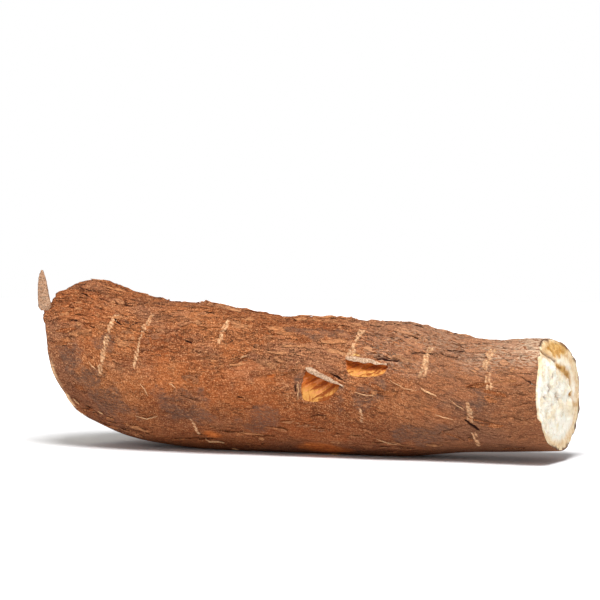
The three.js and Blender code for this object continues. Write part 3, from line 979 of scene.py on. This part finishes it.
def thin_relief(turns, depth, ring):
    """How far the thin face lies behind its cut, and its masks, at a depth in from the rim."""
    y, z = ring[:, 1], ring[:, 2]
    ragged = 0.5 * layered(y / 4, z / 4, 3.0, 2)
    peel = round_value(turns, PEEL) + ragged * np.clip(depth / 3, 0, 1)
    lobe_depth = round_value(turns, LOBE) + 0.6 * ragged
    groove_away, groove_share = near_path(y, z, GROOVE)
    across, up = (y - LOBE_SPOT["y"]) / LOBE_SPOT["wide"], (z - LOBE_SPOT["z"]) / LOBE_SPOT["tall"]
    spot = ridge(across**2 + up**2, 1)
    groove_width = mix(2.2, 1.5, np.abs(2 * groove_share - 0.7))
    groove = ridge(groove_away + 0.8 * ragged, groove_width)
    crease = ridge(near_path(y, z, LOBE_CREASE)[0] + 0.3 * ragged, 0.6)
    uneven = np.clip(1 + 0.9 * layered(y / 1.3, z / 1.3, 6.0, 2), 0.4, 2.5)
    pits = sum(np.exp(-uneven * ((y - py) ** 2 + (z - pz) ** 2) / size**2) for py, pz, size in PITS)
    flesh = step(depth, peel, peel + 1.2)
    crumble = (0.7 * layered(y / 2.4, z / 2.4, 1.0, 3) + 0.3 * noise(y / 6, z / 6, 5.0)) * flesh
    back = chipped_back(turns) * (1 - step(depth, 0.2, 1.3)) + 0.9 * groove + 0.8 * crease + 1.3 * pits
    back = back + crumble + top_slope(turns) * np.clip(1 - depth / TOP_SLOPE_DEPTH, 0, 1)
    back = back + 0.25 * layered(y / 2, z / 2, 8.0, 2) * (1 - flesh) - 0.15
    lobe = step(lobe_depth - depth, -0.3, 0.8) * step(depth, 0.8, 2.0) * step(lobe_depth, 1.5, 3.5)
    bruise = step(noise(y / 5, z / 4, 8.0), 0.0, 0.45) * step(y, 10, 17) * (1 - step(z, 24, 33))
    spots = noise(y / 2.2, z / 2.2, 2.0)
    ochre = 0.35 * lobe + spot * (0.7 + 0.7 * spots) + 0.8 * bruise * step(depth, 0.6, 2) + 1.3 * groove
    mark = 0.35 * groove**4 + 0.8 * crease + 0.35 * spot * step(spots, 0.2, 0.6) + 0.7 * pits
    skinned = step(noise(turns / 11, 2.0, 6.0), -0.3, 0.1) * (1 - step(np.sin(np.radians(turns)), 0.4, 0.7))
    return back, {
        "peel": 1 - step(depth, peel - np.clip(0.6 * peel, 0.5, 5), peel + 0.4),
        "ochre": np.clip(ochre, 0, 1),
        "mark": np.clip(mark, 0, 0.9),
        "bark_edge": (1 - step(depth, 0.5, 2.0 + 0.9 * noise(turns / 4, 5.0, 5.0))) * skinned,
    }


def thick_relief(turns, depth, ring):
    """The same for the thick face, whose middle has a fine cord with rays round it."""
    y, z = ring[:, 1], ring[:, 2]
    radius = np.hypot(y - THICK_END["y"], z - THICK_END["z"])
    peel = 3.0 + 0.5 * noise(turns / 30, 1.0, 1.0)
    groove = ridge(depth - peel, 0.6)
    rays = 0.12 * noise(turns / 4, radius / 30, 2.0) * step(radius, 3, 8)
    cord = ridge(radius, 1.6)
    back = 0.45 * groove + 0.25 * layered(y / 6, z / 6, 4.0, 3) + rays - 0.5 * cord
    rim_back = thick_back(turns) * (1 - step(depth, 0, 3.0))
    return back - rim_back - 0.15, {
        "peel": 1 - step(depth, peel - 0.4, peel + 0.5),
        "ochre": 0.4 * cord,
        "mark": 0.35 * groove,
        "bark_edge": 1 - step(depth, 0.4, 0.9),
    }


def thicken(section, count):
    """A closed outline's corners, with count points along each side."""
    corners = np.asarray(section, float)
    nexts = np.roll(corners, -1, axis=0)
    return np.concatenate([mix(a, b, np.arange(count)[:, None] / count) for a, b in zip(corners, nexts)])


def roughened(points, amount, size):
    """Points moved a little each way by noise of that size."""
    x, y, z = points.T / size
    waver = [layered(x + 7 * n, y, z, 2) for n in range(3)]
    return points + amount * np.stack(waver, -1)


def sliver_piece(name, nick):
    """The sliver of bark that a nick leaves standing over its patch."""
    (x0, turn0), (x1, turn1) = nick["edge"]
    section = thicken([(-2.9, -0.8), (-2.7, 0.1), (-0.9, 1.2), (1.3, 0.9), (-0.8, -0.8)], 5)
    across, lift = section[:, 0], section[:, 1]
    degrees_per_mm = 180 / math.pi / along(np.array([x0]))[3][0]
    run = np.array([x1 - x0, (turn1 - turn0) / degrees_per_mm])
    run = run / np.hypot(*run)
    rings = []
    for share in np.linspace(-0.03, 1.03, 85):
        size = mix(0.45, 1.0, step(share, -0.03, 0.1)) * mix(1.0, 0.3, step(share, 0.5, 1.03))
        size = size * (1 + 0.15 * noise(share * 9, x1, turn0))
        away = across * size + 0.35 * noise(share * 5, x0, turn0)
        x = mix(x0, x1, share) - away * run[1]
        turn = mix(turn0, turn1, share) + away * run[0] * degrees_per_mm
        rings.append(roughened(bark_base(x, turn, np.where(lift > 0, lift * size, lift)), 0.2, 1.1))
    skin = np.tile((across < -1.2).astype(float), (len(rings), 1))
    return loft(name, [np.stack(rings)], INNER_BARK, {"skin": skin})


def strip_piece():
    """The torn strip on the thick end's rim: it leans outwards and narrows to a frayed point."""
    foot = bark_base(np.array([STRIP["x"]]), np.array([STRIP["turn"]]), -2.5)[0]
    rings = []
    for share in np.linspace(-0.02, 1, 60):
        half = STRIP["wide"] / 2 * (1 - 0.5 * share - 0.42 * max(share, 0) ** 6)
        half = half * mix(0.65, 1.0, step(share, -0.02, 0.08))
        thick = STRIP["thick"] * (1 - 0.5 * share)
        middle = foot + (-1.5 - 0.7 * math.sin(2.4 * share), -2.6 - 2.0 * share, 1.0 + STRIP["tall"] * share)
        front = [(-half, 0), (0, -0.5), (half, 0)]
        section = thicken(front + [(y, z + thick) for y, z in reversed(front)], 4)
        ring = middle + np.column_stack([section, np.zeros(len(section))])
        rings.append(roughened(ring, 0.12, 0.9))
    rings = np.stack(rings)
    return loft("torn_strip", [rings], INNER_BARK, {"skin": np.full(rings.shape[:2], 0.35)})


def fibre(path, half):
    """Rings of a fine fibre that lies on the bark along a path of (x, turn) points."""
    path = np.asarray(path, float)
    shares = np.linspace(0, len(path) - 1, 6 * (len(path) - 1) + 1)
    x, turn = (np.interp(shares, np.arange(len(path)), column) for column in path.T)
    ahead = np.stack([np.gradient(x), np.gradient(turn) * MM_PER_DEGREE])
    ahead = ahead / np.hypot(*ahead)
    around = np.radians(np.arange(6) * 60)
    rings = []
    for i, (px, pturn, ahead_x, ahead_turn) in enumerate(zip(x, turn, *ahead)):
        size = 0.85 * half * (0.3 + 0.7 * math.sin(math.pi * (i + 0.5) / len(x)))
        away = size * np.cos(around) + 0.25 * noise(i * 0.6, px, pturn)
        ring_turn = pturn + away * ahead_x / MM_PER_DEGREE
        rings.append(bark_base(px - away * ahead_turn, ring_turn, 0.55 + size * np.sin(around)))
    return np.stack(rings)


# Scattered pieces

def named(tree, name, kind="FLOAT"):
    return tree.add("GeometryNodeInputNamedAttribute", {"Name": name}, data_type=kind)["Attribute"]


def chance(tree, low, high, seed, kind="FLOAT"):
    sockets = {"Min": low, "Max": high, "Seed": seed}
    return tree.add("FunctionNodeRandomValue", sockets, data_type=kind)["Value"]


def scatter(carrier, name, sizes, seed, material, build):
    """Copies of one shape, scattered over a carrier by Geometry Nodes, as a plain mesh of their own.
    Build gives how densely they lie from 0 to 1, their shape, turn and size, and how ragged they are."""
    group = bpy.data.node_groups.new(name, "GeometryNodeTree")
    group.interface.new_socket("Geometry", in_out="INPUT", socket_type="NodeSocketGeometry")
    values = {}
    for title, value in sizes.items():
        socket = group.interface.new_socket(title, in_out="INPUT", socket_type="NodeSocketFloat")
        values[socket.identifier] = value
    group.interface.new_socket("Geometry", in_out="OUTPUT", socket_type="NodeSocketGeometry")
    given = group.nodes.new("NodeGroupInput").outputs
    tree = Nodes(group)
    points = group.nodes.new("GeometryNodeDistributePointsOnFaces")
    dense, shape, turn, size, ragged = build(tree, given, points.outputs["Normal"])
    spread = {"Mesh": given["Geometry"], "Density": tree.times(dense, given["Per Area"]), "Seed": seed}
    for key, value in spread.items():
        tree.give(value, points.inputs[key])
    sockets = {"Points": points.outputs["Points"], "Instance": shape, "Rotation": turn, "Scale": size}
    copies = tree.add("GeometryNodeInstanceOnPoints", sockets)[0]
    if ragged:
        sockets = {"Geometry": copies, "Name": "tone", "Value": chance(tree, 0.0, 1.0, 9)}
        copies = tree.add("GeometryNodeStoreNamedAttribute", sockets, domain="INSTANCE")[0]
    real = tree.add("GeometryNodeRealizeInstances", {"Geometry": copies})[0]
    if ragged:
        wobble = tree.add("ShaderNodeTexNoise", {"Scale": 420.0, "Detail": 2.0})["Color"]
        sockets = {"Geometry": real, "Offset": tree.both_ways(wobble, (ragged, ragged, ragged))}
        real = tree.add("GeometryNodeSetPosition", sockets)[0]
    finished = tree.add("GeometryNodeSetMaterial", {"Geometry": real, "Material": material})[0]
    tree.give(finished, group.nodes.new("NodeGroupOutput").inputs["Geometry"])

    host = placed("host", carrier.data)
    modifier = host.modifiers.new(name, "NODES")
    modifier.node_group = group
    for key, value in values.items():
        modifier[key] = value
    graph = bpy.context.evaluated_depsgraph_get()
    mesh = bpy.data.meshes.new_from_object(host.evaluated_get(graph), depsgraph=graph)
    mesh.name = name
    host.modifiers.clear()
    bpy.data.objects.remove(host)
    return placed(name, mesh)


FLAKES = {"Per Area": 60000.0, "Length": 6.5, "Width": 2.0, "Lift": 0.55}  # per square metre, then mm
FLAKE_RAGGED = 0.003  # metres by which noise moves a flake's corners


def flake(tree, given, normal):
    """A loose flake, denser where the bark is rough: a thin closed plate that narrows to both ends and
    curls up along one side. It lies along the grain, turned and tilted a little."""
    cube = {"Size": (1, 1, 1), "Vertices X": 5, "Vertices Y": 3, "Vertices Z": 2}
    place = tree.add("ShaderNodeSeparateXYZ", {"Vector": tree.add("GeometryNodeInputPosition")[0]})
    x, y, z = (place[axis] for axis in "XYZ")
    taper = tree.maths("SUBTRACT", 1.0, tree.times(x, x, 2.6))
    free_side = tree.plus(y, 0.5)
    curl = tree.times(free_side, free_side, given["Lift"], taper)
    corners = tree.add("ShaderNodeCombineXYZ", {
        "X": tree.times(given["Length"], MM, x),
        "Y": tree.times(y, taper, tree.times(given["Width"], MM)),
        "Z": tree.times(tree.plus(curl, tree.times(z, 0.3)), MM),
    })[0]
    sockets = {"Geometry": tree.add("GeometryNodeMeshCube", cube)[0], "Position": corners}
    shape = tree.add("GeometryNodeSetPosition", sockets)[0]

    turn = tree.add("FunctionNodeAlignRotationToVector", {"Vector": normal}, axis="Z")[0]
    sockets = {"Rotation": turn, "Vector": named(tree, "way", "FLOAT_VECTOR")}
    turn = tree.add("FunctionNodeAlignRotationToVector", sockets, axis="X", pivot_axis="Z")[0]
    for axis, low, high, seed in (((0, 0, 1), -0.28, 0.28, 3), ((1, 0, 0), -0.15, 0.2, 4)):
        sockets = {"Axis": axis, "Angle": chance(tree, low, high, seed)}
        sockets = {"Rotation": turn, "Rotate By": tree.add("FunctionNodeAxisAngleToRotation", sockets)[0]}
        turn = tree.add("FunctionNodeRotateRotation", sockets, rotation_space="LOCAL")[0]
    ranges = {"X": (0.3, 1.9, 5), "Y": (0.4, 1.5, 6), "Z": (0.3, 1.4, 8)}
    size = tree.add("ShaderNodeCombineXYZ", {axis: chance(tree, *draw) for axis, draw in ranges.items()})[0]
    return named(tree, "loose"), shape, turn, size, FLAKE_RAGGED


CRUMB = {"Per Area": 700000.0, "Size": 0.4}  # per square metre, then mm


def crumb(tree, given, normal):
    """A corky crumb on the lips of a lenticel."""
    radius = tree.times(given["Size"], MM / 2)
    shape = tree.add("GeometryNodeMeshIcoSphere", {"Radius": radius, "Subdivisions": 1})[0]
    turn = chance(tree, (0, 0, 0), (6.28, 6.28, 6.28), 2, "FLOAT_VECTOR")
    size = chance(tree, (0.5, 0.5, 0.4), (1.6, 1.5, 1.1), 6, "FLOAT_VECTOR")
    return tree.fade(named(tree, "cork"), 0.55, 1.0), shape, turn, size, 0


def stage():
    """A pale floor that fades to white, a white studio and soft light."""
    mesh = bpy.data.meshes.new("floor")
    reach = 3.0
    corners = [(-reach, -reach, 0), (reach, -reach, 0), (reach, reach, 0), (-reach, reach, 0)]
    mesh.from_pydata(corners, [], [(0, 1, 2, 3)])
    floor = placed("floor", mesh)
    floor.location.z = -0.0001
    material, tree, shader, place = new_material("floor", 0.9, 0.1)
    shader["Base Color"].default_value = (0.93, 0.93, 0.94, 1)
    shader["Emission Strength"].default_value = 1.0
    place = tree.vector("MULTIPLY", place, (1, 1.3, 1))
    distance = tree.add("ShaderNodeVectorMath", {0: place}, operation="LENGTH")["Value"]
    glow = tree.blend(tree.fade(distance, 0.2, 0.55), (0, 0, 0), (255, 255, 255))
    tree.give(glow, shader["Emission Color"])
    mesh.materials.append(material)

    world = bpy.data.worlds.new("studio")
    world.use_nodes = True
    tree = Nodes(world.node_tree)
    background = world.node_tree.nodes["Background"].inputs
    background["Color"].default_value = (1, 1, 1, 1)
    seen = tree.add("ShaderNodeLightPath")["Is Camera Ray"]
    tree.give(tree.between(seen, 0.0, 1.0, 0.38, 1.0), background["Strength"])
    bpy.context.scene.world = world
    bpy.context.scene.view_settings.view_transform = "Standard"

    def softbox(name, place, size, power):
        light = bpy.data.lights.new(name, "AREA")
        light.shape = "RECTANGLE"
        light.size, light.size_y = size
        light.energy = power
        lamp = placed(name, light)
        lamp.location = place
        lamp.rotation_euler = (CAMERA_TARGET - Vector(place)).to_track_quat("-Z", "Y").to_euler()

    softbox("key_softbox", (0.15, -0.36, 0.87), (0.45, 0.4), 11.6)
    softbox("fill_softbox", (-0.6, -1.0, 0.5), (0.8, 0.6), 1.5)


def camera():
    azimuth, elevation = math.radians(CAMERA["azimuth"]), math.radians(CAMERA["elevation"])
    level = math.cos(elevation)
    back = Vector((math.sin(azimuth) * level, -math.cos(azimuth) * level, math.sin(elevation)))
    right = Vector((math.cos(azimuth), math.sin(azimuth), 0))
    place = CAMERA_TARGET + back * CAMERA["distance"]
    aim = CAMERA_TARGET + right.cross(-back) * CAMERA["up"] - right * CAMERA["left"]
    data = bpy.data.cameras.new("camera")
    data.lens = CAMERA["lens"]
    data.sensor_width = 36
    data.clip_start = 0.01
    eye = placed("camera", data)
    eye.location = place
    eye.rotation_euler = (aim - place).to_track_quat("-Z", "Y").to_euler()
    bpy.context.scene.camera = eye


camera()
stage()
bark, rims, turns = bark_piece()
fit(bark)
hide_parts(ROOT_NODE)
fit(scatter(bark, "bark_flakes", FLAKES, 7, BARK_FLAKE, flake))
fit(scatter(bark, "lenticel_crumbs", CRUMB, 5, PALE_FIBRE, crumb))
fit(face_piece("thick_cut_face", THICK_END, rims[0], turns, -1, thick_relief))
fit(face_piece("thin_cut_face", THIN_END, rims[1], turns, 1, thin_relief))
for number, nick in enumerate(NICKS, 1):
    fit(sliver_piece(f"sliver_{number}", nick))
fit(strip_piece())
fit(loft("bark_fibres", [fibre(path, half) for path, half in FIBRES], PALE_FIBRE))
